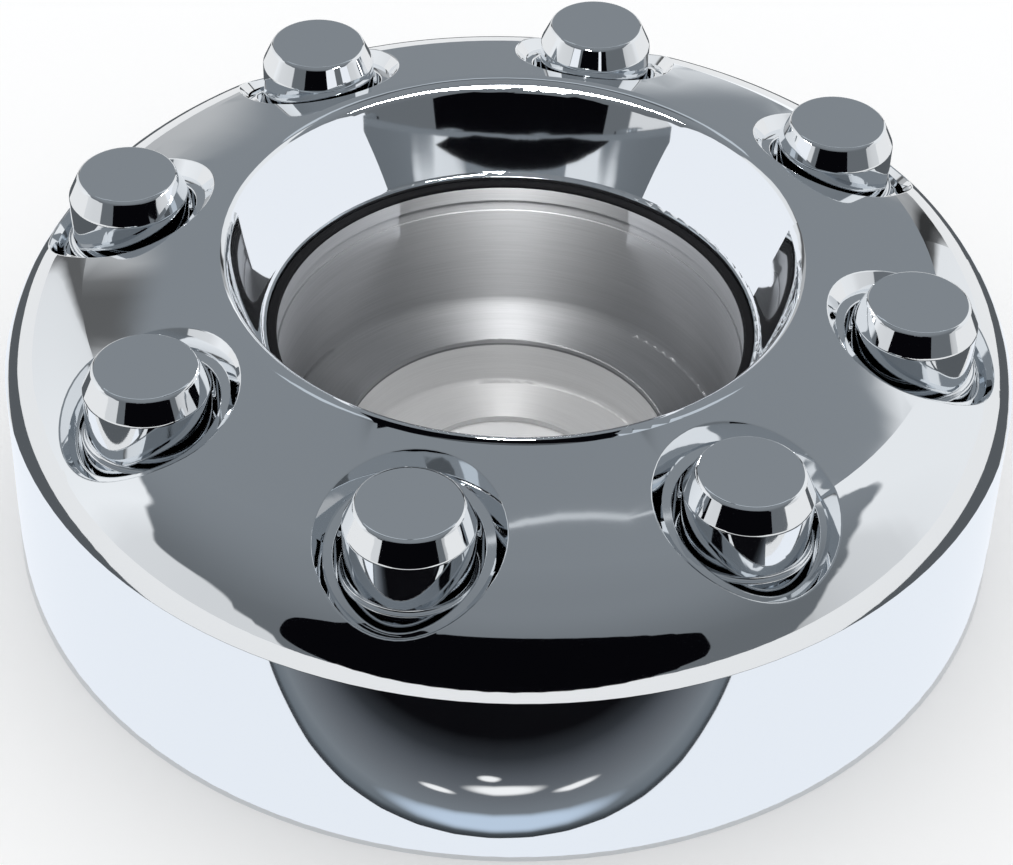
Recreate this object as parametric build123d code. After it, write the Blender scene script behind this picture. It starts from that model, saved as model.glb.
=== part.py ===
from build123d import *
import os
from math import cos, hypot, radians, sin, sqrt, tan

# Front axle cover: a chromed moulded cover that stands over the middle of a truck wheel.
# Z runs along the axle with the outboard side up, and z = 0 is the plane of the skirt's rim.
# All sizes are in millimetres. Radii follow from the lug circle, and heights from the overall height.

# The wheel's studs, and the height to the tops of the lug caps
lug_count = 8
bolt_circle = 200.0
first_lug_angle = 22.5
overall_height = 84.0

# Skirt and crown
skirt_reach = 27.4           # from the lug circle out to the skirt's rim
skirt_flare = 0.8            # the rim is this much wider than the shoulder
shoulder_drop = 32.0         # from the top down to the crease of the shoulder
shoulder_round = 0.5
roll_width = 20.6            # the crown rolls over from the conical face to the shoulder
face_slope = 16.5            # degrees, falling outboard from the lip
wall = 3.0

# Lip and funnel that lead into the bore
lip_reach = 28.5             # from the lug circle in to where face and funnel would meet
cap_stand = 1.1              # the caps stand this much higher than that meeting
lip_round = 4.2
funnel_draft = 20.0          # degrees off the axis
funnel_depth = 26.0          # from the top down to the in-turned flange
funnel_foot_round = 1.2
funnel_step = 10.0           # the opening in the flange is this much smaller in radius than the lip
foot_flange = 3.0            # thickness of that flange

# Lug stations in the cover
well_radius = 19.3
well_bevel = 2.5             # of the well's edge, measured on the crown
well_bevel_depth = 3.2       # the same bevel, measured down the well's wall
bevel_round = 0.4            # of the bevel's outer edge
land_depth = 3.8             # the land round the recess follows the crown this far under it
land_round = 0.4
recess_radius = 16.9
recess_drop = 25.5           # from the top down to the recess's floor
recess_floor = 2.5
nut_hole_radius = 12.8
cup_wall = 2.6

# Lug caps
cap_top_radius = 12.3
cap_body_radius = 14.95
cap_bevel_height = 5.8
cap_flange_radius = 16.1
cap_flange_height = 5.6
cap_top_round = 1.2
cap_hip_round = 1.4
cap_foot_round = 0.7
cap_flange_round = 0.4
cap_top_wall = 3.0
cap_socket_flats = 21.4      # slides over a 21 mm wheel nut

# Gaskets under the caps
gasket_thickness = 1.0
gasket_inset = 0.2

# Rubber seal between the funnel's flange, the collar and the sleeve's edge
seal_thickness = 2.0
seal_width = 4.5             # how far it reaches under the funnel's flange
seal_cover = 1.1             # rubber over the sleeve's edge
seal_clearance = 0.1
seal_round = 0.45
throat = 2.6                 # the upper bore is this much smaller in radius than the flange's opening

# Sleeve that lines the bore
sleeve_wall = 1.6
sleeve_rise = 3.1            # its edge stands this far above its collar
mouth_band = 4.0             # plain band above the groove
groove_width = 3.4
groove_depth = 0.5
ledge_height = 16.9
ledge_width = 16.3
ledge_round = 2.4
floor_top = 2.1
floor_width = 15.2           # from the lower bore in to the hole in the floor
floor_round = 1.2
sleeve_standoff = 0.5        # the sleeve stops this far above the skirt's plane
sleeve_edge_round = 0.3

# Screws that hold the sleeve's collar to bosses under the face
screw_count = 4
screw_reach = 16.0           # from the outside of the sleeve out to the screws
screw_radius = 2.0
screw_length = 12.0
screw_head_radius = 3.9
screw_head_height = 2.6
screw_head_round = 0.8
screw_socket_flats = 2.5
screw_socket_depth = 1.5
screw_clearance = 0.05
collar_hole_clearance = 0.3
collar_margin = 5.5          # from the screws out to the collar's edge
boss_wall = 2.3
boss_hole_spare = 2.0

# Ribs under the face
rib_count = 8
rib_thickness = 2.2
rib_rise = 1.0               # the ribs stop this far above the cups' undersides

overcut = 5.0                # how far a cutting tool runs past what it opens

# Radii that follow from the sizes above
lug_radius = bolt_circle / 2
base_radius = lug_radius + skirt_reach
shoulder_radius = base_radius - skirt_flare
crown_radius = shoulder_radius - roll_width
lip_corner_radius = lug_radius - lip_reach
funnel_mouth_radius = lip_corner_radius - funnel_step
sleeve_radius = funnel_mouth_radius - throat
sleeve_outer = sleeve_radius + sleeve_wall
lower_bore_radius = sleeve_radius - ledge_width
floor_hole_radius = lower_bore_radius - floor_width
screw_place_radius = sleeve_outer + screw_reach
collar_radius = screw_place_radius + collar_margin
seal_radius = funnel_mouth_radius + seal_width

# Heights that follow
shoulder_height = overall_height - shoulder_drop
lip_corner_height = overall_height - cap_stand
recess_height = overall_height - recess_drop
cup_bottom = recess_height - recess_floor
rib_bottom = cup_bottom + rib_rise
cap_bottom = recess_height + gasket_thickness
funnel_foot_height = overall_height - funnel_depth
foot_flange_bottom = funnel_foot_height - foot_flange
collar_top = foot_flange_bottom - seal_thickness
collar_bottom = collar_top - sleeve_wall
sleeve_top = collar_top + sleeve_rise

# Angles in radians
slope = radians(face_slope)
draft = radians(funnel_draft)


def face_height(r, below=0.0):
    """Height of the conical face at radius r, or of a surface that far below it."""
    return lip_corner_height - (r - lip_corner_radius) * tan(slope) - below / cos(slope)


def funnel_radius(z, behind=0.0):
    """Radius of the funnel at height z, or of a surface that far behind it."""
    return lip_corner_radius - (lip_corner_height - z) * tan(draft) + behind / cos(draft)


def under_lip_corner():
    """Where the underside of the face meets the back of the funnel."""
    run = tan(slope) * tan(draft)
    back_at_zero = funnel_radius(0, wall)
    face_at_zero = face_height(0, wall)
    r = (back_at_zero + face_at_zero * tan(draft)) / (1 + run)
    return r, face_height(r, wall)


def roll_circle():
    """Centre and radius of the arc in which the crown rolls over."""
    start = Vector(crown_radius, face_height(crown_radius))
    inward = Vector(-sin(slope), -cos(slope))
    chord = Vector(shoulder_radius, shoulder_height) - start
    radius = chord.length ** 2 / (2 * chord.dot(inward))
    return start + inward * radius, radius


def shoulder_arc(depth):
    """Arc from the end of the conical face to the shoulder, or one that deep under it."""
    centre, radius = roll_circle()
    end = Vector(shoulder_radius, shoulder_height)
    share = (radius - depth) / radius
    first = centre + Vector(sin(slope), cos(slope)) * (radius - depth)
    last = centre + (end - centre) * share
    return TangentArc(first, last, tangent=(cos(slope), -sin(slope)))


def crown_height(r):
    """Height of the crown's outside at radius r."""
    if r < crown_radius:
        return face_height(r)
    centre, radius = roll_circle()
    return centre.Y + sqrt(radius ** 2 - (r - centre.X) ** 2)


def rounded_face(outline, rounds=()):
    """Fill a closed outline and round the corners given as (corner, radius)."""
    face = Sketch() + make_face(outline)
    for corner, radius in rounds:
        near = [v for v in face.vertices() if (Vector(v) - Vector(*corner)).length < 0.01]
        face = fillet(near, radius)
    return face


def turned(outline, rounds=()):
    """Turn a rounded outline of (radius, height) about the axle axis."""
    return revolve(Plane.XZ * rounded_face(outline, rounds), Axis.Z)


def at_lugs():
    """Places of the lug stations."""
    return PolarLocations(lug_radius, lug_count, first_lug_angle)


def at_screws():
    """Places of the screws that hold the sleeve."""
    return PolarLocations(screw_place_radius, screw_count)


def rod(radius, low, high):
    """Upright cylinder on the local axis."""
    return Pos(0, 0, low) * Cylinder(radius, high - low, align=(Align.CENTER, Align.CENTER, Align.MIN))


def make_envelope():
    """The cover's outside, solid down to the skirt's plane, with the bore open."""
    crown = shoulder_arc(0)
    foot = (funnel_radius(funnel_foot_height), funnel_foot_height)
    lip = (lip_corner_radius, lip_corner_height)
    outline = Wire([
        Line((funnel_mouth_radius, 0), (base_radius, 0)),
        Line((base_radius, 0), crown @ 1),
        crown,
        Line(crown @ 0, lip),
        Line(lip, foot),
        Line(foot, (funnel_mouth_radius, funnel_foot_height)),
        Line((funnel_mouth_radius, funnel_foot_height), (funnel_mouth_radius, 0)),
    ])
    shoulder = (shoulder_radius, shoulder_height)
    return turned(outline, [(lip, lip_round), (foot, funnel_foot_round), (shoulder, shoulder_round)])


def make_hollow():
    """The open space under the face, between the funnel and the skirt."""
    under = shoulder_arc(wall)
    corner = under_lip_corner()
    back = (funnel_radius(foot_flange_bottom, wall), foot_flange_bottom)
    mouth = funnel_mouth_radius - overcut
    outline = Wire([
        Line((mouth, -overcut), (base_radius - wall, -overcut)),
        Line((base_radius - wall, -overcut), (base_radius - wall, 0)),
        Line((base_radius - wall, 0), under @ 1),
        under,
        Line(under @ 0, corner),
        Line(corner, back),
        Line(back, (mouth, foot_flange_bottom)),
        Line((mouth, foot_flange_bottom), (mouth, -overcut)),
    ])
    return turned(outline, [(corner, lip_round - wall)])


def below_crown(depth):
    """Everything between the bore and the skirt that lies deeper than this under the crown."""
    under = shoulder_arc(depth)
    inner = (funnel_mouth_radius, face_height(funnel_mouth_radius, depth))
    outline = Wire([
        Line((funnel_mouth_radius, 0), ((under @ 1).X, 0)),
        Line(((under @ 1).X, 0), under @ 1),
        under,
        Line(under @ 0, inner),
        Line(inner, (funnel_mouth_radius, 0)),
    ])
    return turned(outline)


def make_cups():
    """Outsides of the stepped cups that hang under the face, one at each lug."""
    upper = rod(well_radius + cup_wall, cup_bottom, overall_height)
    lower = rod(recess_radius + cup_wall, cup_bottom, overall_height)
    lands = Part() + [place * upper for place in at_lugs()] - below_crown(land_depth + cup_wall)
    return lands + [place * lower for place in at_lugs()]


def make_bosses():
    """Posts that take the screws."""
    post = rod(screw_radius + boss_wall, collar_top, overall_height)
    return Part() + [place * post for place in at_screws()]


def make_ribs():
    """Radial ribs between the cups, from the funnel's back to the skirt."""
    inner = funnel_mouth_radius
    length = shoulder_radius - inner
    height = overall_height - rib_bottom
    rib = Pos(inner, 0, rib_bottom) * Box(length, rib_thickness, height,
                                          align=(Align.MIN, Align.CENTER, Align.MIN))
    return Part() + [Rot(0, 0, 360 / rib_count * i) * rib for i in range(rib_count)]


def edges_round(solid, place, low, high):
    """Edges whose middle point lies between two distances from a lug's axis."""
    found = []
    for edge in solid.edges():
        middle = edge @ 0.5
        reach = hypot(middle.X - place.position.X, middle.Y - place.position.Y)
        if low - 0.02 < reach < high + 0.02 and edge.length > 1:
            found.append(edge)
    return found


def is_on_crown(point):
    """True for a point on the crown's outside."""
    return abs(point.Z - crown_height(hypot(point.X, point.Y))) < 0.02


def is_over_recess(point):
    """True for a point above the recess's floor."""
    return point.Z > recess_height + land_round


def bevel_wells(shell):
    """Bevel each well's edge in the crown, and round the outer edge of the bevel."""
    rims = []
    for place in at_lugs():
        edge = [e for e in edges_round(shell, place, well_radius, well_radius) if is_on_crown(e @ 0.5)]
        walls = [f for f in shell.faces() if f.geom_type == GeomType.CYLINDER and edge[0] in f.edges()]
        shell = chamfer(edge, well_bevel_depth, well_bevel, reference=walls[0])
    for place in at_lugs():
        near = edges_round(shell, place, well_radius + well_bevel / 2, well_radius + well_bevel)
        rims += [e for e in near if is_on_crown(e @ 0.5)]
    return fillet(rims, bevel_round)


def make_cover_shell():
    """The moulded cover: crown, skirt, funnel, eight stepped wells, ribs and bosses."""
    hollow = make_hollow() - make_cups() - make_bosses() - make_ribs()
    shell = make_envelope() - hollow
    well = rod(well_radius, cup_bottom, overall_height + overcut)
    wells = Part() + [place * well for place in at_lugs()] - below_crown(land_depth)
    shell = bevel_wells(shell - wells)
    recess = rod(recess_radius, recess_height, overall_height + overcut)
    nut_hole = rod(nut_hole_radius, cup_bottom - overcut, recess_height + overcut)
    shell -= [place * (recess + nut_hole) for place in at_lugs()]
    thread_top = collar_bottom + screw_length + boss_hole_spare
    thread = rod(screw_radius, collar_top - overcut, thread_top)
    shell -= [place * thread for place in at_screws()]
    edges = []
    for place in at_lugs():
        near = edges_round(shell, place, recess_radius, recess_radius)
        edges += [e for e in near if is_over_recess(e @ 0.5)]
    return fillet(edges, land_round)


def make_lug_cap():
    """Closed cap with a coned top, a foot flange and a hexagon socket, on the local axis."""
    flange_top = cap_bottom + cap_flange_height
    hip = overall_height - cap_bevel_height
    outline = Polyline(
        (0, cap_bottom),
        (cap_flange_radius, cap_bottom),
        (cap_flange_radius, flange_top),
        (cap_body_radius, flange_top),
        (cap_body_radius, hip),
        (cap_top_radius, overall_height),
        (0, overall_height),
        close=True,
    )
    cap = turned(outline, [
        ((cap_flange_radius, flange_top), cap_flange_round),
        ((cap_body_radius, flange_top), cap_foot_round),
        ((cap_body_radius, hip), cap_hip_round),
        ((cap_top_radius, overall_height), cap_top_round),
    ])
    socket = RegularPolygon(cap_socket_flats / 2, 6, major_radius=False)
    depth = overall_height - cap_top_wall - cap_bottom
    return cap - Pos(0, 0, cap_bottom) * extrude(socket, depth)


def make_cap_gasket():
    """Flat rubber ring between a cap's foot and the floor of its recess."""
    outer = cap_flange_radius
    inner = nut_hole_radius + gasket_inset
    return rod(outer, recess_height, cap_bottom) - rod(inner, recess_height - overcut, cap_bottom + overcut)


def make_hub_sleeve():
    """Stepped sleeve: grooved upper bore, ledge, narrower lower bore and a floor with a hole."""
    band_bottom = sleeve_top - mouth_band
    groove_bottom = band_bottom - groove_width
    groove_radius = sleeve_radius + groove_depth
    lower_outer = lower_bore_radius + sleeve_wall
    ledge_under = ledge_height - sleeve_wall
    outline = Polyline(
        (sleeve_radius, sleeve_top),
        (sleeve_radius, band_bottom),
        (groove_radius, band_bottom),
        (groove_radius, groove_bottom),
        (sleeve_radius, groove_bottom),
        (sleeve_radius, ledge_height),
        (lower_bore_radius, ledge_height),
        (lower_bore_radius, floor_top),
        (floor_hole_radius, floor_top),
        (floor_hole_radius, sleeve_standoff),
        (lower_outer, sleeve_standoff),
        (lower_outer, ledge_under),
        (sleeve_outer, ledge_under),
        (sleeve_outer, collar_bottom),
        (collar_radius, collar_bottom),
        (collar_radius, collar_top),
        (sleeve_outer, collar_top),
        (sleeve_outer, sleeve_top),
        close=True,
    )
    sleeve = turned(outline, [
        ((sleeve_radius, ledge_height), ledge_round),
        ((sleeve_outer, ledge_under), ledge_round + sleeve_wall),
        ((lower_bore_radius, ledge_height), sleeve_edge_round),
        ((lower_bore_radius, floor_top), floor_round),
        ((lower_outer, sleeve_standoff), floor_round + sleeve_wall),
    ])
    hole = rod(screw_radius + collar_hole_clearance, collar_bottom - overcut, collar_top + overcut)
    return sleeve - [place * hole for place in at_screws()]


def make_bore_seal():
    """Rubber ring clamped on the collar, with a lip that hooks over the sleeve's edge."""
    inner = sleeve_radius + seal_clearance
    throat = funnel_mouth_radius - seal_clearance
    seat = sleeve_outer + seal_clearance
    top = sleeve_top + seal_cover
    outline = Polyline(
        (inner, sleeve_top),
        (inner, top),
        (throat, top),
        (throat, foot_flange_bottom),
        (seal_radius, foot_flange_bottom),
        (seal_radius, collar_top),
        (seat, collar_top),
        (seat, sleeve_top),
        close=True,
    )
    return turned(outline, [((inner, top), seal_round), ((throat, top), seal_round)])


def make_screw():
    """Pan-head screw with a hexagon socket, driven up from below, on the local axis."""
    head_bottom = collar_bottom - screw_head_height
    shank_radius = screw_radius - screw_clearance
    outline = Polyline(
        (0, head_bottom),
        (screw_head_radius, head_bottom),
        (screw_head_radius, collar_bottom),
        (shank_radius, collar_bottom),
        (shank_radius, collar_bottom + screw_length),
        (0, collar_bottom + screw_length),
        close=True,
    )
    screw = turned(outline, [((screw_head_radius, head_bottom), screw_head_round)])
    socket = RegularPolygon(screw_socket_flats / 2, 6, major_radius=False)
    return screw - Pos(0, 0, head_bottom) * extrude(socket, screw_socket_depth)


def save(solid, name):
    """Write one piece to its own file."""
    export_step(solid, f"parts/{name}.step")


os.makedirs("parts", exist_ok=True)
save(make_cover_shell(), "cover_shell")
save(make_hub_sleeve(), "hub_sleeve")
save(make_bore_seal(), "bore_seal")
lug_cap = make_lug_cap()
cap_gasket = make_cap_gasket()
for number, place in enumerate(at_lugs(), start=1):
    save(place * lug_cap, f"lug_cap_{number}")
    save(place * cap_gasket, f"cap_gasket_{number}")
screw = make_screw()
for number, place in enumerate(at_screws(), start=1):
    save(place * screw, f"sleeve_screw_{number}")
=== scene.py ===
"""Visual model of a chromed truck front axle cover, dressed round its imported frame."""

import logging
from dataclasses import dataclass
from enum import Enum
from math import cos, pi, radians, sin
from typing import Sequence, Union

import bpy
from mathutils import Matrix, Vector

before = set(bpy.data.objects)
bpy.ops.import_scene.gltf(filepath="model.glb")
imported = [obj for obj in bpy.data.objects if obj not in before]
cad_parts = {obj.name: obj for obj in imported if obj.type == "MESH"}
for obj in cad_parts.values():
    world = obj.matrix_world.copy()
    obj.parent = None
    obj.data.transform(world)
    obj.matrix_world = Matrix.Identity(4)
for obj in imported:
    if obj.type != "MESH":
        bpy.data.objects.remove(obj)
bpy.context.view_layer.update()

LOG = logging.getLogger("axle_cover")
IMAGE_SIZE = (1013, 865)
CAMERA_AZIMUTH = 10.54
WHITE = (1.0, 1.0, 1.0)

Colour = tuple[float, float, float]
Point = tuple[float, float, float]
Wire = Union[float, bpy.types.NodeSocket]


class Part(Enum):
    """Kinds of CAD node, by the start of their names."""

    SHELL = "cover_shell"
    CAP = "lug_cap"
    GASKET = "cap_gasket"
    SEAL = "bore_seal"
    SLEEVE = "hub_sleeve"
    SCREW = "sleeve_screw"


class Show(Enum):
    """Rays that a stage card shows itself to."""

    EVERYTHING = "everything"
    GLOSS_ONLY = "gloss only"


class NodeSketch:
    """Short hand for laying out a node tree."""

    def __init__(self, tree: bpy.types.NodeTree) -> None:
        """Empty the tree and keep it.

        Args:
            tree: the node tree of a material or world.
        """
        self.tree = tree
        self.tree.nodes.clear()

    def add(self, kind: str, **settings: object) -> bpy.types.Node:
        """Make one node.

        Args:
            kind: Blender's name of the node type.
            settings: attributes to set on the node.

        Returns:
            The new node.
        """
        node = self.tree.nodes.new(kind)
        for name, value in settings.items():
            setattr(node, name, value)
        return node

    def feed(self, socket: bpy.types.NodeSocket, value: object) -> None:
        """Link a socket to another, or set its own value.

        Args:
            socket: the input socket.
            value: an output socket, a number, a colour or a vector.
        """
        if isinstance(value, bpy.types.NodeSocket):
            self.tree.links.new(value, socket)
        else:
            socket.default_value = value

    def maths(self, operation: str, *values: Wire) -> bpy.types.NodeSocket:
        """Add a Math node.

        Args:
            operation: the node's operation.
            values: its inputs in order.

        Returns:
            The result's socket.
        """
        node = self.add("ShaderNodeMath", operation=operation)
        for socket, value in zip(node.inputs, values):
            self.feed(socket, value)
        return node.outputs[0]

    def dot(self, vector: bpy.types.NodeSocket, direction: Point) -> bpy.types.NodeSocket:
        """Dot product of a vector and a fixed direction.

        Args:
            vector: the vector's socket.
            direction: the fixed direction.

        Returns:
            The product's socket.
        """
        node = self.add("ShaderNodeVectorMath", operation="DOT_PRODUCT")
        self.feed(node.inputs[0], vector)
        node.inputs[1].default_value = direction
        return node.outputs["Value"]

    def ramp(self, value: Wire, start: float, end: float) -> bpy.types.NodeSocket:
        """Step smoothly from 0 at start to 1 at end.

        Args:
            value: the number that is stepped.
            start: where the step begins.
            end: where it ends, below start for a falling value.

        Returns:
            The step's socket.
        """
        node = self.add("ShaderNodeMapRange", interpolation_type="SMOOTHSTEP")
        self.feed(node.inputs["Value"], value)
        node.inputs["From Min"].default_value = start
        node.inputs["From Max"].default_value = end
        return node.outputs["Result"]

    def spread(self, value: Wire, low: float, high: float) -> bpy.types.NodeSocket:
        """Carry 0 to 1 onto low to high.

        Args:
            value: a number from 0 to 1.
            low: what 0 becomes.
            high: what 1 becomes.

        Returns:
            The result's socket.
        """
        node = self.add("ShaderNodeMapRange")
        self.feed(node.inputs["Value"], value)
        node.inputs["To Min"].default_value = low
        node.inputs["To Max"].default_value = high
        return node.outputs["Result"]

    def blend(self, factor: Wire, first: object, second: object) -> bpy.types.NodeSocket:
        """Mix two colours.

        Args:
            factor: 0 gives the first, 1 the second.
            first: a colour or a socket.
            second: a colour or a socket.

        Returns:
            The mixed colour's socket.
        """
        node = self.add("ShaderNodeMix", data_type="RGBA")
        self.feed(node.inputs["Factor"], factor)
        self.feed(node.inputs[6], as_rgba(first))
        self.feed(node.inputs[7], as_rgba(second))
        return node.outputs[2]

    def mixed(self, factor: Wire, first: Wire, second: Wire) -> bpy.types.NodeSocket:
        """Mix two numbers.

        Args:
            factor: 0 gives the first, 1 the second.
            first: a number or a socket.
            second: a number or a socket.

        Returns:
            The mixed number's socket.
        """
        node = self.add("ShaderNodeMix", data_type="FLOAT")
        self.feed(node.inputs["Factor"], factor)
        self.feed(node.inputs[2], first)
        self.feed(node.inputs[3], second)
        return node.outputs[0]

    def tinted(self, level: Wire, tint: Colour) -> bpy.types.NodeSocket:
        """Tint a grey level.

        Args:
            level: the grey level.
            tint: the colour that a level of 1 gives.

        Returns:
            The tinted colour's socket.
        """
        node = self.add("ShaderNodeVectorMath", operation="SCALE")
        node.inputs[0].default_value = tint
        self.feed(node.inputs["Scale"], level)
        return node.outputs[0]

    def close(self, surface: bpy.types.NodeSocket) -> None:
        """Link a shader to the material's output."""
        output = self.add("ShaderNodeOutputMaterial")
        self.feed(output.inputs["Surface"], surface)

    def noise(
        self, vector: bpy.types.NodeSocket, scale: float, detail: float = 3.0
    ) -> bpy.types.NodeSocket:
        """Noise at a vector, as a value round one half.

        Args:
            vector: the place's socket.
            scale: how fine the noise is.
            detail: how many finer layers it has.

        Returns:
            The noise's socket.
        """
        node = self.add("ShaderNodeTexNoise")
        self.feed(node.inputs["Vector"], vector)
        node.inputs["Scale"].default_value = scale
        node.inputs["Detail"].default_value = detail
        return node.outputs[0]


def as_rgba(colour: object) -> object:
    """Give a plain colour its alpha, and leave a socket as it is.

    Args:
        colour: a colour or a socket.

    Returns:
        The colour with alpha, or the same socket.
    """
    if isinstance(colour, bpy.types.NodeSocket):
        return colour
    return (*colour, 1.0)


def open_material(name: str) -> tuple[bpy.types.Material, NodeSketch]:
    """Make a material with an empty tree.

    Args:
        name: the material's name.

    Returns:
        The material and its sketch.
    """
    material = bpy.data.materials.new(name)
    material.use_nodes = True
    return material, NodeSketch(material.node_tree)


@dataclass(frozen=True)
class Finish:
    """A surface finish, with the sockets that stay the same all over it."""

    name: str
    colour: Colour
    metallic: float
    roughness: float

    def start(self) -> tuple[bpy.types.Material, NodeSketch, bpy.types.Node]:
        """Open a material with its Principled shader.

        Returns:
            The material, its sketch and the shader node.
        """
        material, sketch = open_material(self.name)
        shader = sketch.add("ShaderNodeBsdfPrincipled")
        sketch.close(shader.outputs[0])
        shader.inputs["Base Color"].default_value = (*self.colour, 1.0)
        shader.inputs["Metallic"].default_value = self.metallic
        shader.inputs["Roughness"].default_value = self.roughness
        return material, sketch, shader

    def make(self) -> bpy.types.Material:
        """Make the material."""
        return self.start()[0]


@dataclass(frozen=True)
class ChromePlating(Finish):
    """Bright plating on a moulded part: a mirror with a faint haze and a slow waviness."""

    haze_scale: float = 28.0
    haze_low: float = 0.018
    haze_high: float = 0.05
    wave_scale: float = 9.0
    wave_depth: float = 0.00001
    dimple_depth: float = 0.0
    dimple_reach: float = 0.16
    dimple_centre: Point = (0.5, 0.5, 1.0)

    def make(self) -> bpy.types.Material:
        """Make the material.

        Returns:
            The material.
        """
        material, sketch, shader = self.start()
        place = sketch.add("ShaderNodeTexCoord").outputs["Object"]
        haze = sketch.noise(place, self.haze_scale)
        rough = sketch.spread(haze, self.haze_low, self.haze_high)
        sketch.feed(shader.inputs["Roughness"], rough)
        wave = sketch.noise(place, self.wave_scale, 1.0)
        bump = sketch.add("ShaderNodeBump")
        bump.inputs["Distance"].default_value = self.wave_depth
        sketch.feed(bump.inputs["Height"], wave)
        normal = bump.outputs[0]
        if self.dimple_depth:
            box = sketch.add("ShaderNodeTexCoord").outputs["Generated"]
            flat = sketch.add("ShaderNodeVectorMath", operation="DISTANCE")
            sketch.feed(flat.inputs[0], box)
            flat.inputs[1].default_value = self.dimple_centre
            dimple = sketch.add("ShaderNodeBump")
            dimple.inputs["Distance"].default_value = self.dimple_depth
            hollow = sketch.ramp(flat.outputs["Value"], 0.0, self.dimple_reach)
            sketch.feed(dimple.inputs["Height"], hollow)
            sketch.feed(dimple.inputs["Normal"], normal)
            normal = dimple.outputs[0]
        sketch.feed(shader.inputs["Normal"], normal)
        return material


@dataclass(frozen=True)
class TurnedSteel(Finish):
    """Steel with fine lines that a lathe tool left round the axle, with painted light below
    the ledge (a lighter, less metallic lit copy) and a band of painted shade on the ledge.
    """

    line_scale: float = 2600.0
    line_depth: float = 0.000003
    patch_scale: float = 34.0
    rough_low: float = 0.46
    rough_high: float = 0.58
    dark: Colour = (0.34, 0.343, 0.35)
    # Painted light: below the ledge the steel is a lighter, less metallic lit copy of the
    # wall.
    painted_lit_lower_light: Colour = (0.95, 0.95, 0.95)
    painted_lit_lower_dark: Colour = (0.74, 0.74, 0.74)
    painted_lit_lower_metallic: float = 0.25
    ledge_height: float = 0.0153
    ledge_edge: float = 0.0005
    # Painted shade: a dark band on the ledge where the upper wall steps in to the lower bore.
    painted_ledge_shade: Colour = (0.24, 0.243, 0.25)
    turn_share: float = 0.0012
    broad_share: float = 9.0
    fine_part: float = 0.6
    broad_part: float = 0.4
    patch_part: float = 0.5
    edge_start: float = 0.4
    brushing: float = 1.0
    brushing_turn: float = 0.25

    def make(self) -> bpy.types.Material:
        """Make the material.

        Returns:
            The material.
        """
        material, sketch, shader = self.start()
        place = sketch.add("ShaderNodeTexCoord").outputs["Object"]
        split = sketch.add("ShaderNodeSeparateXYZ")
        sketch.feed(split.inputs[0], place)
        x, y, z = split.outputs
        squares = (sketch.maths("MULTIPLY", x, x), sketch.maths("MULTIPLY", y, y))
        radius = sketch.maths("SQRT", sketch.maths("ADD", *squares))
        turn = sketch.maths("ARCTAN2", y, x)
        lines = sketch.add("ShaderNodeCombineXYZ")
        sketch.feed(lines.inputs[0], sketch.maths("MULTIPLY", turn, self.turn_share))
        sketch.feed(lines.inputs[1], radius)
        sketch.feed(lines.inputs[2], z)
        fine = sketch.noise(lines.outputs[0], self.line_scale, 2.0)
        broad = sketch.noise(lines.outputs[0], self.line_scale / self.broad_share, 2.0)
        both = sketch.maths(
            "ADD",
            sketch.maths("MULTIPLY", fine, self.fine_part),
            sketch.maths("MULTIPLY", broad, self.broad_part),
        )
        wall = sketch.blend(both, self.dark, self.colour)
        # Painted light: a lighter copy of the turned grain for the steel below the ledge.
        painted_lit_lower = sketch.blend(both, self.painted_lit_lower_dark, self.painted_lit_lower_light)
        # Mask of the painted lit copy, everything below the ledge.
        painted_lit_mask = sketch.ramp(z, self.ledge_height, self.ledge_height - self.ledge_edge)
        # Painted shade: darken the ledge and the steel just round it.
        level = sketch.maths("ABSOLUTE", sketch.maths("SUBTRACT", z, self.ledge_height))
        flat = sketch.ramp(level, self.ledge_edge, self.edge_start * self.ledge_edge)
        colour = sketch.blend(flat, sketch.blend(painted_lit_mask, wall, painted_lit_lower), self.painted_ledge_shade)
        sketch.feed(shader.inputs["Base Color"], colour)
        # Painted light: less metallic below the ledge, so the even light brightens it.
        metallic = sketch.mixed(painted_lit_mask, self.metallic, self.painted_lit_lower_metallic)
        sketch.feed(shader.inputs["Metallic"], metallic)
        patch = sketch.noise(place, self.patch_scale)
        mixed = sketch.maths(
            "ADD",
            sketch.maths("MULTIPLY", patch, self.patch_part),
            sketch.maths("MULTIPLY", both, 1.0 - self.patch_part),
        )
        rough = sketch.spread(mixed, self.rough_low, self.rough_high)
        sketch.feed(shader.inputs["Roughness"], rough)
        bump = sketch.add("ShaderNodeBump")
        bump.inputs["Distance"].default_value = self.line_depth
        sketch.feed(bump.inputs["Height"], both)
        sketch.feed(shader.inputs["Normal"], bump.outputs[0])
        shader.inputs["Anisotropic"].default_value = self.brushing
        shader.inputs["Anisotropic Rotation"].default_value = self.brushing_turn
        tangent = sketch.add("ShaderNodeTangent", direction_type="RADIAL", axis="Z")
        sketch.feed(shader.inputs["Tangent"], tangent.outputs[0])
        return material


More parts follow.
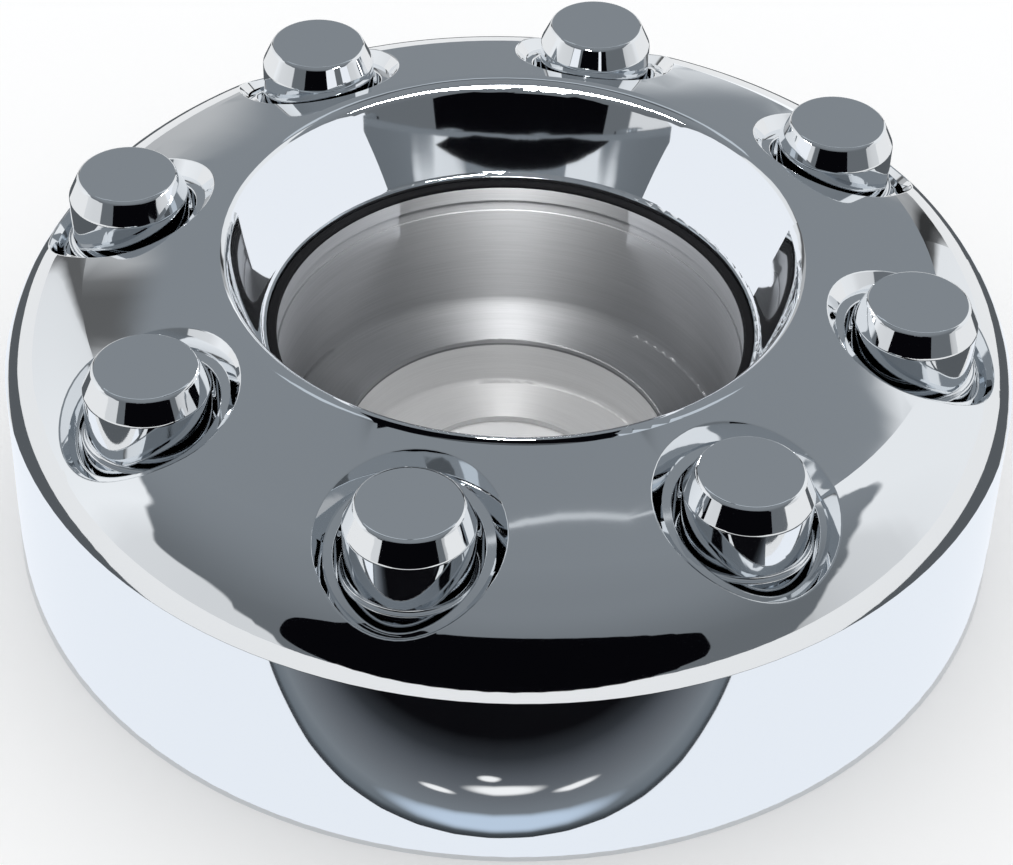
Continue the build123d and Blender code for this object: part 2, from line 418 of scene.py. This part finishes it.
@dataclass(frozen=True)
class BlackRubber(Finish):
    """Matt moulded rubber with a fine pebble and slightly rubbed patches."""

    pebble_scale: float = 1400.0
    pebble_depth: float = 0.00002
    sheen: float = 0.12
    rubbed_scale: float = 60.0
    rubbed_gain: float = 2.2

    def make(self) -> bpy.types.Material:
        """Make the material.

        Returns:
            The material.
        """
        material, sketch, shader = self.start()
        place = sketch.add("ShaderNodeTexCoord").outputs["Object"]
        rubbed = sketch.noise(place, self.rubbed_scale)
        shader.inputs["Specular IOR Level"].default_value = self.sheen
        lighter = tuple(self.rubbed_gain * c for c in self.colour)
        sketch.feed(shader.inputs["Base Color"], sketch.blend(rubbed, self.colour, lighter))
        bump = sketch.add("ShaderNodeBump")
        bump.inputs["Distance"].default_value = self.pebble_depth
        sketch.feed(bump.inputs["Height"], sketch.noise(place, self.pebble_scale))
        sketch.feed(shader.inputs["Normal"], bump.outputs[0])
        return material


@dataclass(frozen=True)
class ZincPlating(Finish):
    """Dull bright plating of a small screw."""

    spangle_scale: float = 700.0
    rough_low: float = 0.25
    rough_high: float = 0.5

    def make(self) -> bpy.types.Material:
        """Make the material.

        Returns:
            The material.
        """
        material, sketch, shader = self.start()
        place = sketch.add("ShaderNodeTexCoord").outputs["Object"]
        spangle = sketch.noise(place, self.spangle_scale)
        rough = sketch.spread(spangle, self.rough_low, self.rough_high)
        sketch.feed(shader.inputs["Roughness"], rough)
        return material


@dataclass(frozen=True)
class Finishes:
    """The cover's finishes."""

    shell: ChromePlating = ChromePlating("bright chrome", (0.86, 0.88, 0.90), 1.0, 0.03)
    cap: ChromePlating = ChromePlating(
        "cap chrome", (0.86, 0.88, 0.90), 1.0, 0.03, haze_scale=90.0, dimple_depth=0.00012
    )
    steel: TurnedSteel = TurnedSteel("turned steel", (0.555, 0.56, 0.57), 0.96, 0.5)
    rubber: BlackRubber = BlackRubber("black rubber", (0.004, 0.004, 0.005), 0.0, 0.7)
    zinc: ZincPlating = ZincPlating("zinc plating", (0.62, 0.62, 0.60), 1.0, 0.35)


@dataclass
class PlatedMoulding:
    """The cover's shell and its caps, in chrome."""

    finishes: Finishes

    def dress(self) -> None:
        """Give the moulded nodes their plating."""
        dress_nodes(Part.SHELL, self.finishes.shell.make())
        dress_nodes(Part.CAP, self.finishes.cap.make())


@dataclass
class BoreParts:
    """The steel sleeve with its screws, and the rubber parts."""

    finishes: Finishes

    def dress(self) -> None:
        """Give the sleeve, screws, seal and gaskets their finishes."""
        dress_nodes(Part.SLEEVE, self.finishes.steel.make())
        dress_nodes(Part.SCREW, self.finishes.zinc.make())
        rubber = self.finishes.rubber.make()
        dress_nodes(Part.SEAL, rubber)
        dress_nodes(Part.GASKET, rubber)


@dataclass(frozen=True)
class Glow:
    """Plain shade of a card that only mirrors show."""

    name: str
    colour: Colour

    def make(self) -> bpy.types.Material:
        """Make the material.

        Returns:
            The material.
        """
        material, sketch = open_material(self.name)
        light = sketch.add("ShaderNodeEmission")
        light.inputs["Color"].default_value = (*self.colour, 1.0)
        sketch.close(light.outputs[0])
        return material


@dataclass(frozen=True)
class CurvedShade:
    """Shade of the card on the floor: a dark rim, a pale band, grey, and black further out."""

    name: str = "floor card shade"
    near: float = -0.134
    middle: float = 0.002
    bend: float = 1.45
    stops: Sequence[tuple[float, Colour]] = (
        (0.0, (0.03, 0.035, 0.04)),
        (0.0010, (0.06, 0.07, 0.08)),
        (0.0022, (0.15, 0.175, 0.20)),
        (0.006, (0.20, 0.225, 0.25)),
        (0.012, (0.15, 0.165, 0.185)),
        (0.019, (0.09, 0.10, 0.115)),
        (0.025, (0.03, 0.034, 0.04)),
        (0.032, (0.003, 0.003, 0.004)),
    )
    pale: Colour = (0.55, 0.66, 0.80)
    pale_place: tuple[float, float] = (0.0045, 0.0028)
    pale_half: float = 0.034
    depth: float = 0.04
    sparks: Sequence[tuple[float, float, float, float]] = (
        (0.001, 0.0148, 0.0130, 0.0016),
        (-0.020, 0.0125, 0.0060, 0.0008),
        (0.024, 0.0128, 0.0080, 0.0009),
        (-0.004, 0.0185, 0.0040, 0.0010),
    )
    pale_edge: tuple[float, float] = (1.4, 0.2)
    spark_edge: tuple[float, float] = (1.3, 0.2)

    def make(self) -> bpy.types.Material:
        """Make the material.

        Returns:
            The material.
        """
        material, sketch = open_material(self.name)
        place = sketch.add("ShaderNodeTexCoord").outputs["Object"]
        split = sketch.add("ShaderNodeSeparateXYZ")
        sketch.feed(split.inputs[0], place)
        across = sketch.maths("SUBTRACT", split.outputs[0], self.middle)
        bow = sketch.maths("MULTIPLY", sketch.maths("MULTIPLY", across, across), self.bend)
        front = sketch.maths("SUBTRACT", self.near, bow)
        inward = sketch.maths("SUBTRACT", front, split.outputs[1])
        ramp = sketch.add("ShaderNodeValToRGB")
        steps = ramp.color_ramp.elements
        steps[0].position, steps[0].color = 0.0, (*self.stops[0][1], 1.0)
        steps[1].position = self.stops[-1][0] / self.depth
        steps[1].color = (*self.stops[-1][1], 1.0)
        for reach, colour in self.stops[1:-1]:
            steps.new(reach / self.depth).color = (*colour, 1.0)
        sketch.feed(ramp.inputs[0], sketch.maths("DIVIDE", inward, self.depth))
        colour = ramp.outputs[0]
        band = self.square_from(sketch, inward, *self.pale_place)
        flank = sketch.maths("POWER", sketch.maths("DIVIDE", across, self.pale_half), 2.0)
        patch = sketch.ramp(sketch.maths("ADD", band, flank), *self.pale_edge)
        colour = sketch.blend(patch, colour, self.pale)
        for right, reach, wide, high in self.sparks:
            along = self.square_from(sketch, across, right, wide)
            outward = self.square_from(sketch, inward, reach, high)
            spot = sketch.ramp(sketch.maths("ADD", along, outward), *self.spark_edge)
            colour = sketch.blend(spot, colour, WHITE)
        light = sketch.add("ShaderNodeEmission")
        sketch.feed(light.inputs["Color"], colour)
        sketch.close(light.outputs[0])
        return material

    def square_from(
        self, sketch: NodeSketch, value: Wire, middle: float, half: float
    ) -> bpy.types.NodeSocket:
        """Square of a value's distance from a middle, in half widths.

        Args:
            sketch: the card's node tree.
            value: the value's socket.
            middle: where the result is 0.
            half: how far from the middle it is 1.

        Returns:
            The square's socket.
        """
        off = sketch.maths("DIVIDE", sketch.maths("SUBTRACT", value, middle), half)
        return sketch.maths("POWER", off, 2.0)


@dataclass
class Studio:
    """Floor, surroundings and the cards that the chrome mirrors.

    A direction is an azimuth in degrees, from straight away of the camera and positive to
    its right, and an elevation. A card's place is to the camera's right, away from it, and up.
    """

    away_azimuth: float = CAMERA_AZIMUTH
    floor_reach: float = 6.0
    floor_colour: Colour = (0.93, 0.935, 0.94)
    floor_glow: float = 0.12
    shade_tint: Colour = (0.91, 1.0, 1.09)
    white_tint: Colour = (0.98, 1.0, 1.02)
    black: Colour = (0.002, 0.002, 0.003)
    plain_light: float = 0.95
    low_grey: float = 0.155
    high_grey: float = 0.235
    away_grey: float = 0.262
    wall_tops: Sequence[tuple[float, float]] = (
        (-180.0, -6.0), (-150.0, -6.0), (-140.0, -2.0), (-133.0, 8.0), (-125.0, 14.0),
        (-118.0, 19.0), (-105.0, 20.0), (-98.0, 27.0), (-90.0, 34.0), (-84.0, 40.0),
        (-75.0, 41.0), (-68.0, 42.0), (-60.0, 45.0), (-50.0, 44.0), (-42.0, 43.0),
        (-38.0, 38.0), (-33.0, 31.0), (-29.0, 25.0), (-25.0, 18.0), (-17.0, 10.0),
        (-12.0, 4.0), (-7.0, 0.0), (0.0, -2.0), (5.0, 1.0), (12.0, 4.0), (20.0, 13.0),
        (27.0, 18.0), (31.0, 26.0), (37.0, 38.0), (42.0, 44.0), (45.0, 51.0), (48.0, 56.0),
        (52.0, 54.0), (58.0, 52.0), (65.0, 44.0), (72.0, 41.0), (79.0, 41.0), (86.0, 38.0),
        (93.0, 35.0), (100.0, 27.0), (106.0, 22.0), (113.0, 12.0), (120.0, 2.0),
        (126.0, -4.0), (150.0, -6.0), (180.0, -6.0),
    )
    wall_levels: Sequence[tuple[float, float]] = (
        (-180.0, 0.72), (-118.0, 0.72), (-100.0, 0.76), (-88.0, 0.95), (-70.0, 0.90),
        (-55.0, 0.86), (-41.0, 0.82), (-38.5, 0.75), (-37.5, 0.12), (-32.5, 0.12),
        (-31.5, 0.45), (-22.0, 0.50), (-12.0, 0.55), (-10.0, 1.10), (19.0, 1.10),
        (21.0, 0.42), (25.0, 0.40), (26.6, 0.04), (29.4, 0.04), (30.6, 0.86), (45.0, 0.90),
        (70.0, 0.90), (85.0, 0.86), (92.0, 0.72), (105.0, 0.68), (115.0, 0.60),
        (126.0, 0.30), (180.0, 0.72),
    )
    wall_edge: float = 0.02
    grey_rise: tuple[float, float] = (12.0, 66.0)
    grey_turn: tuple[float, float] = (-0.25, 0.6)
    band_half: float = 34.0
    band_side_edge: float = 0.01
    band_edge: float = 0.3
    bands: Sequence[tuple[float, float, float]] = ((51.0, 57.0, 0.62), (60.0, 66.0, 0.10))
    opening_distance: float = 0.30
    opening_centre: tuple[float, float] = (-0.008, 0.139)
    opening_half: tuple[float, float] = (0.224, 0.096)
    opening_power: float = 2.6
    ceiling_height: float = 0.6
    streak_line: Sequence[tuple[float, float]] = (
        (-0.02, 0.031), (0.03, 0.038), (0.085, 0.049), (0.13, 0.060), (0.20, 0.093),
    )
    streak_half: float = 0.0014
    streak_colour: Colour = (0.62, 0.65, 0.68)
    floor_rings: Sequence[tuple[str, float, float, Colour]] = (
        ("pale_floor_ring", 0.1285, 0.19, (0.90, 0.94, 1.0)),
        ("dark_floor_ring", 0.195, 0.30, (0.10, 0.11, 0.12)),
    )
    bore_card_side: float = 0.03
    bore_card_run: tuple[float, float] = (0.018, 0.05)
    bore_card_heights: tuple[float, float] = (0.045, 0.105)
    bore_card_colour: Colour = (0.92, 0.95, 1.0)
    bore_strip: tuple[float, float, float, float] = (0.006, 0.008, 0.045, 0.13)
    bore_strip_colour: Colour = (45.0, 45.0, 45.0)
    lip_card: tuple[float, float, float, float, float] = (-0.034, 0.026, -0.064, -0.036, 0.10)
    card_half: float = 0.1
    card_end: float = -0.32
    card_steps: int = 40
    card_lift: float = 0.0005
    ring_lift: float = 0.0003
    round_steps: int = 96

    def direction(self, azimuth: float, elevation: float = 0.0) -> Vector:
        """Unit vector towards a direction.

        Args:
            azimuth: degrees to the camera's right of straight away.
            elevation: degrees above level.

        Returns:
            The unit vector in the model's frame.
        """
        turn = radians(self.away_azimuth + azimuth)
        rise = radians(elevation)
        return Vector((sin(turn) * cos(rise), cos(turn) * cos(rise), sin(rise)))

    def build(self) -> None:
        """Make the surroundings, the floor and the cards."""
        self.make_world()
        self.make_floor()
        self.make_opening()
        self.make_streak()
        self.make_floor_card()
        self.make_floor_rings()
        self.make_bore_cards()

    def make_world(self) -> None:
        """Make the surroundings.

        Mirrors see pale walls at both sides and a grey ceiling, all other rays an even
        light, and the camera white.
        """
        world = bpy.data.worlds.new("studio")
        bpy.context.scene.world = world
        world.use_nodes = True
        world.cycles.sampling_method = "NONE"
        sketch = NodeSketch(world.node_tree)
        towards = sketch.add("ShaderNodeTexCoord").outputs["Generated"]
        ahead = sketch.dot(towards, tuple(self.direction(0.0)))
        right = sketch.dot(towards, tuple(self.direction(90.0)))
        up = sketch.dot(towards, (0.0, 0.0, 1.0))
        half_turns = sketch.maths("ADD", sketch.maths("ARCTAN2", right, ahead), pi)
        turned = sketch.maths("DIVIDE", half_turns, 2 * pi)
        elevation = sketch.maths("ARCSINE", up)
        share = self.curve(sketch, turned, self.wall_tops, 90.0)
        top = sketch.maths("MULTIPLY", share, pi / 2)
        above = sketch.maths("SUBTRACT", elevation, top)
        walls = sketch.ramp(above, self.wall_edge, -self.wall_edge)
        level = self.curve(sketch, turned, self.wall_levels, 1.0)
        white = sketch.tinted(level, self.white_tint)
        height = sketch.ramp(elevation, *(radians(rise) for rise in self.grey_rise))
        camera_side = sketch.spread(height, self.low_grey, self.high_grey)
        nearer = sketch.ramp(ahead, *self.grey_turn)
        shade = sketch.mixed(nearer, camera_side, self.away_grey)
        aside = sketch.maths("ABSOLUTE", sketch.maths("SUBTRACT", turned, 0.5))
        side = self.band_half / 360.0
        ahead_only = sketch.ramp(aside, side + self.band_side_edge, side)
        edge = self.band_edge
        for low, high, band_level in self.bands:
            rise = sketch.ramp(elevation, radians(low - edge), radians(low + edge))
            fall = sketch.ramp(elevation, radians(high + edge), radians(high - edge))
            both = sketch.maths("MULTIPLY", rise, fall)
            inside = sketch.maths("MULTIPLY", both, ahead_only)
            shade = sketch.mixed(inside, shade, band_level)
        colour = sketch.blend(walls, sketch.tinted(shade, self.shade_tint), white)
        paths = sketch.add("ShaderNodeLightPath")
        colour = sketch.blend(paths.outputs["Is Glossy Ray"], (self.plain_light,) * 3, colour)
        colour = sketch.blend(paths.outputs["Is Camera Ray"], colour, WHITE)
        background = sketch.add("ShaderNodeBackground")
        sketch.feed(background.inputs["Color"], colour)
        output = sketch.add("ShaderNodeOutputWorld")
        sketch.feed(output.inputs["Surface"], background.outputs[0])

    def curve(
        self,
        sketch: NodeSketch,
        turned: Wire,
        table: Sequence[tuple[float, float]],
        full: float,
    ) -> bpy.types.NodeSocket:
        """Read a table of azimuth and value.

        Args:
            sketch: the world's node tree.
            turned: azimuth carried onto 0 to 1.
            table: azimuth in degrees and value, in order.
            full: the value that the curve shows as 1.

        Returns:
            The value's socket, as a share of full.
        """
        node = sketch.add("ShaderNodeFloatCurve")
        node.mapping.use_clip = False
        line = node.mapping.curves[0]
        points = [((azimuth + 180.0) / 360.0, value / full) for azimuth, value in table]
        line.points[0].location = points[0]
        line.points[1].location = points[-1]
        for place in points[1:-1]:
            line.points.new(*place)
        if full == 1.0:
            for point in line.points:
                point.handle_type = "VECTOR"
        node.mapping.update()
        sketch.feed(node.inputs["Value"], turned)
        return node.outputs[0]

    def make_floor(self) -> None:
        """A plain pale floor that keeps the object's soft shadow."""
        reach = self.floor_reach
        corners = level_corners(-reach, reach, -reach, reach, 0.0)
        material, sketch = open_material("pale floor")
        shader = sketch.add("ShaderNodeBsdfDiffuse")
        shader.inputs["Color"].default_value = (*self.floor_colour, 1.0)
        glow = sketch.add("ShaderNodeEmission")
        glow.inputs["Color"].default_value = (*WHITE, 1.0)
        seen = sketch.add("ShaderNodeLightPath").outputs["Is Camera Ray"]
        strength = sketch.maths("MULTIPLY", seen, self.floor_glow)
        sketch.feed(glow.inputs["Strength"], strength)
        total = sketch.add("ShaderNodeAddShader")
        sketch.feed(total.inputs[0], shader.outputs[0])
        sketch.feed(total.inputs[1], glow.outputs[0])
        sketch.close(total.outputs[0])
        self.add_card("floor", corners, [(0, 1, 2, 3)], material, Show.EVERYTHING)

    def make_opening(self) -> None:
        """The dark, round-cornered opening on the camera's side."""
        count = self.round_steps
        middle, height = self.opening_centre
        wide, high = self.opening_half
        power = 2.0 / self.opening_power
        rim = []
        for step in range(count):
            turn = 2 * pi * step / count
            across = abs(cos(turn)) ** power * (1 if cos(turn) >= 0 else -1)
            along = abs(sin(turn)) ** power * (1 if sin(turn) >= 0 else -1)
            rim.append((middle + wide * across, -self.opening_distance, height + high * along))
        dark = Glow("dark opening shade", self.black).make()
        self.add_card("dark_opening", rim, [tuple(range(count))], dark, Show.GLOSS_ONLY)

    def make_streak(self) -> None:
        """A thin pale strip overhead, which draws a soft streak on the near face."""
        points = []
        for across, along in self.streak_line:
            points.append((across, along - self.streak_half, self.ceiling_height))
            points.append((across, along + self.streak_half, self.ceiling_height))
        count = len(self.streak_line) - 1
        faces = [(2 * i, 2 * i + 2, 2 * i + 3, 2 * i + 1) for i in range(count)]
        pale = Glow("overhead strip shade", self.streak_colour).make()
        self.add_card("overhead_strip", points, faces, pale, Show.GLOSS_ONLY)

    def make_floor_card(self) -> None:
        """A dark card on the floor before the skirt, with a bowed front edge."""
        shade = CurvedShade()
        steps = self.card_steps
        points = []
        for step in range(steps + 1):
            across = self.card_half * (2.0 * step / steps - 1.0)
            front = shade.near - shade.bend * (across - shade.middle) ** 2
            points.append((across, front, self.card_lift))
            points.append((across, self.card_end, self.card_lift))
        faces = [(2 * i, 2 * i + 1, 2 * i + 3, 2 * i + 2) for i in range(steps)]
        self.add_card("floor_card", points, faces, shade.make(), Show.GLOSS_ONLY)

    def make_floor_rings(self) -> None:
        """A pale ring on the floor round the skirt, and a darker one outside it."""
        steps = self.round_steps
        for name, inner, outer, colour in self.floor_rings:
            points = []
            for step in range(steps):
                turn = 2 * pi * step / steps
                for radius in (inner, outer):
                    points.append((radius * cos(turn), radius * sin(turn), self.ring_lift))
            faces = []
            for step in range(steps):
                after = (step + 1) % steps
                faces.append((2 * step, 2 * step + 1, 2 * after + 1, 2 * after))
            shade = Glow(name + " shade", colour).make()
            self.add_card(name, points, faces, shade, Show.GLOSS_ONLY)

    def make_bore_cards(self) -> None:
        """Cards at the bore that only mirrors see.

        Two white ones stand in its mouth, a bright strip hangs over it, and a black card
        hangs over the lip.
        """
        near, far = self.bore_card_run
        low, high = self.bore_card_heights
        white = Glow("bore card shade", self.bore_card_colour).make()
        side = self.bore_card_side
        for name, across in (("right_bore_card", side), ("left_bore_card", -side)):
            rows = ((near, low), (far, low), (far, high), (near, high))
            corners = [(across, along, height) for along, height in rows]
            self.add_card(name, corners, [(0, 1, 2, 3)], white, Show.GLOSS_ONLY)
        half, start, end, height = self.bore_strip
        corners = level_corners(-half, half, start, end, height)
        bright = Glow("bore strip shade", self.bore_strip_colour).make()
        self.add_card("bore_strip", corners, [(0, 1, 2, 3)], bright, Show.GLOSS_ONLY)
        dark = Glow("lip card shade", self.black).make()
        corners = level_corners(*self.lip_card)
        self.add_card("lip_card", corners, [(0, 1, 2, 3)], dark, Show.GLOSS_ONLY)

    def add_card(
        self,
        name: str,
        points: Sequence[Point],
        faces: Sequence[tuple[int, ...]],
        material: bpy.types.Material,
        show: Show,
    ) -> None:
        """Add a flat stage object whose points are given along the camera's heading.

        Args:
            name: its name.
            points: its corners, x to the camera's right and y away.
            faces: its faces.
            material: its material.
            show: the rays that see it.
        """
        mesh = bpy.data.meshes.new(name)
        mesh.from_pydata(list(points), [], list(faces))
        card = bpy.data.objects.new(name, mesh)
        card.rotation_euler = (0.0, 0.0, -radians(self.away_azimuth))
        bpy.context.scene.collection.objects.link(card)
        mesh.materials.append(material)
        if show is Show.GLOSS_ONLY:
            card.visible_camera = False
            card.visible_diffuse = False
            card.visible_shadow = False
            card.visible_transmission = False
        LOG.info("%s placed", name)


@dataclass
class PhotoCamera:
    """The camera that took the photograph, in the model's frame."""

    focal_px: float = 2635.0
    distance: float = 0.6496
    elevation: float = 36.81
    roll: float = 1.91
    heading: float = CAMERA_AZIMUTH
    aim: Point = (-0.0001, -0.0734, 0.084)
    sensor_mm: float = 36.0

    def build(self) -> None:
        """Make the camera and use it."""
        rise = radians(self.elevation)
        turn = Matrix.Rotation(-radians(self.heading), 3, "Z")
        aim = turn @ Vector(self.aim)
        back = -self.distance * cos(rise)
        height = self.distance * sin(rise) + self.aim[2]
        spot = turn @ Vector((0.0, back, height))
        view = (aim - spot).normalized()
        right = view.cross(Vector((0.0, 0.0, 1.0))).normalized()
        up = right.cross(view)
        lean = radians(self.roll)
        across = right * cos(lean) + up * sin(lean)
        upward = up * cos(lean) - right * sin(lean)
        data = bpy.data.cameras.new("camera")
        data.sensor_fit = "HORIZONTAL"
        data.sensor_width = self.sensor_mm
        data.lens = self.focal_px / IMAGE_SIZE[0] * self.sensor_mm
        data.clip_start = 0.01
        camera = bpy.data.objects.new("camera", data)
        bpy.context.scene.collection.objects.link(camera)
        axes = Matrix((across, upward, -view)).transposed()
        camera.matrix_world = Matrix.Translation(spot) @ axes.to_4x4()
        bpy.context.scene.camera = camera


def level_corners(
    left: float, right: float, near: float, far: float, height: float
) -> list[Point]:
    """Corners of a level rectangle.

    Args:
        left: its left side, along the camera's right.
        right: its right side.
        near: its side towards the camera.
        far: its side away from it.
        height: its height.

    Returns:
        Its four corners in order.
    """
    rim = ((left, near), (right, near), (right, far), (left, far))
    return [(across, along, height) for across, along in rim]


def dress_nodes(part: Part, material: bpy.types.Material) -> None:
    """Put a material on every CAD node of one kind.

    Args:
        part: the kind of node.
        material: the finish that it gets.
    """
    for name, node in sorted(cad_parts.items()):
        if name.startswith(part.value):
            for place in node.material_slots:
                place.material = material
            LOG.info("%s dressed in %s", name, material.name)


def main() -> None:
    """Build the scene in order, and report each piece."""
    logging.basicConfig(level=logging.INFO, format="%(message)s")
    finishes = Finishes()
    PlatedMoulding(finishes).dress()
    BoreParts(finishes).dress()
    Studio().build()
    PhotoCamera().build()
    bpy.context.scene.view_settings.view_transform = "Standard"


if __name__ == "__main__":
    main()
